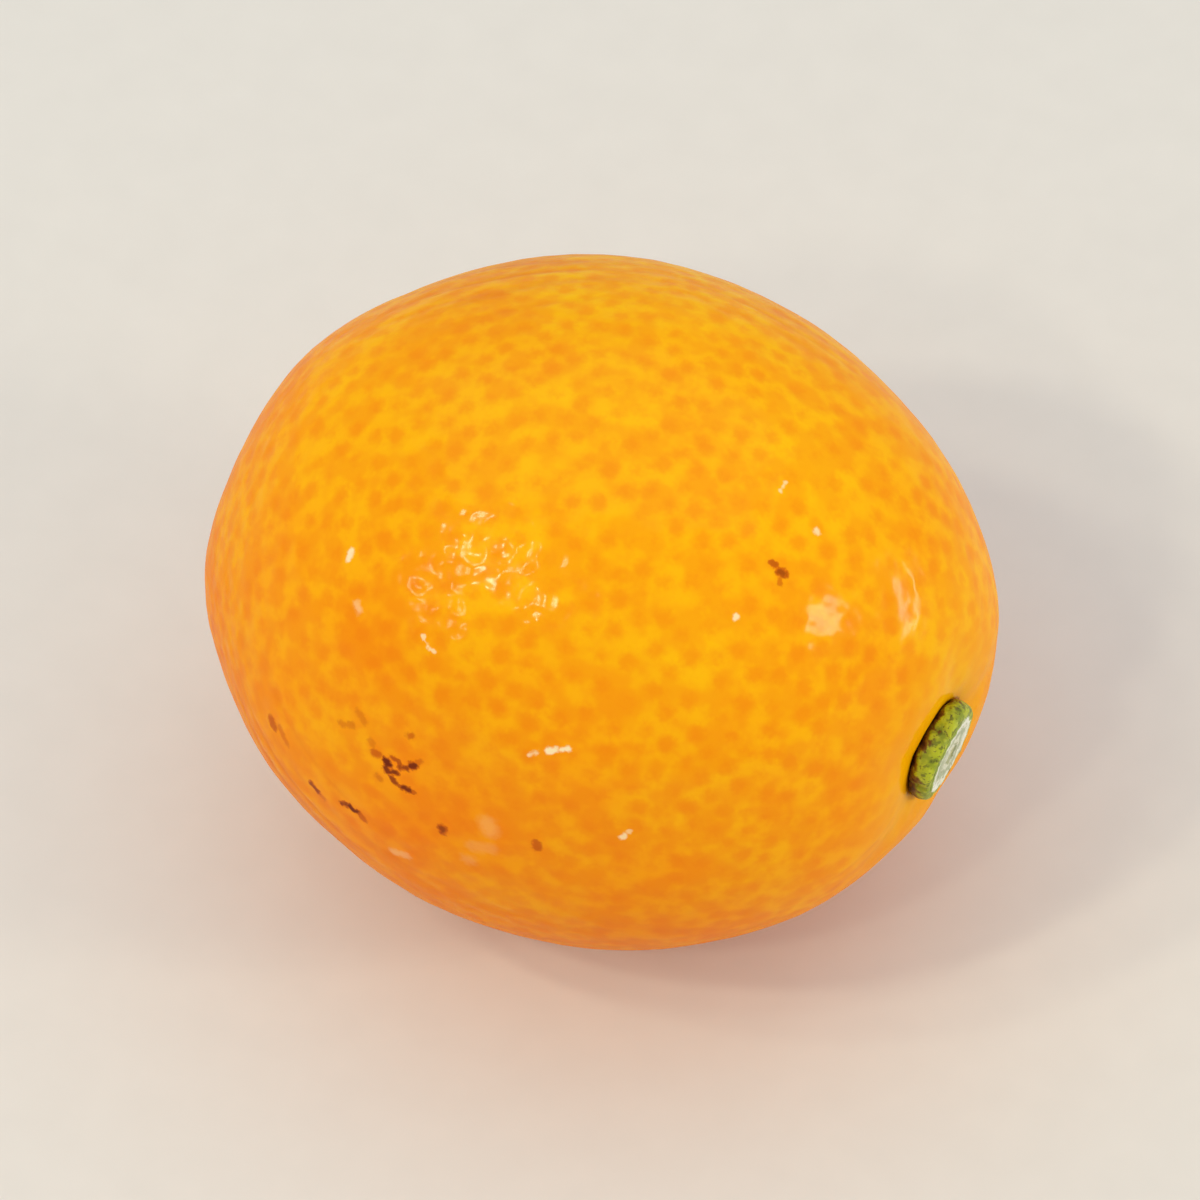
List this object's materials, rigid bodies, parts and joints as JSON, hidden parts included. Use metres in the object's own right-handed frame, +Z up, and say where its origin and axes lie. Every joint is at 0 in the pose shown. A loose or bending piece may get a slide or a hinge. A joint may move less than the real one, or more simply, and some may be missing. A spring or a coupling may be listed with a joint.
{
  "type": "kumquat",
  "caption": "Whole picked kumquat, a small oval citrus fruit with its green calyx and cut stem stub, lying on its side.",
  "frame": {"origin": "middle of the base of the bounding box, on the surface that the fruit lies on", "axes": "+X along the fruit's length towards its stem end, +Z up"},
  "size_m": [0.037, 0.0318, 0.0317],
  "materials": {
    "peel": "waxy orange-yellow citrus peel, pitted with fine oil glands",
    "calyx": "dull green, dried at the edges",
    "cut_stem": "pale corky cut end"
  },
  "bodies": {
    "root": {"fruit": "peel", "calyx": "calyx", "stem_stub": "cut_stem"}
  },
  "joints": []
}
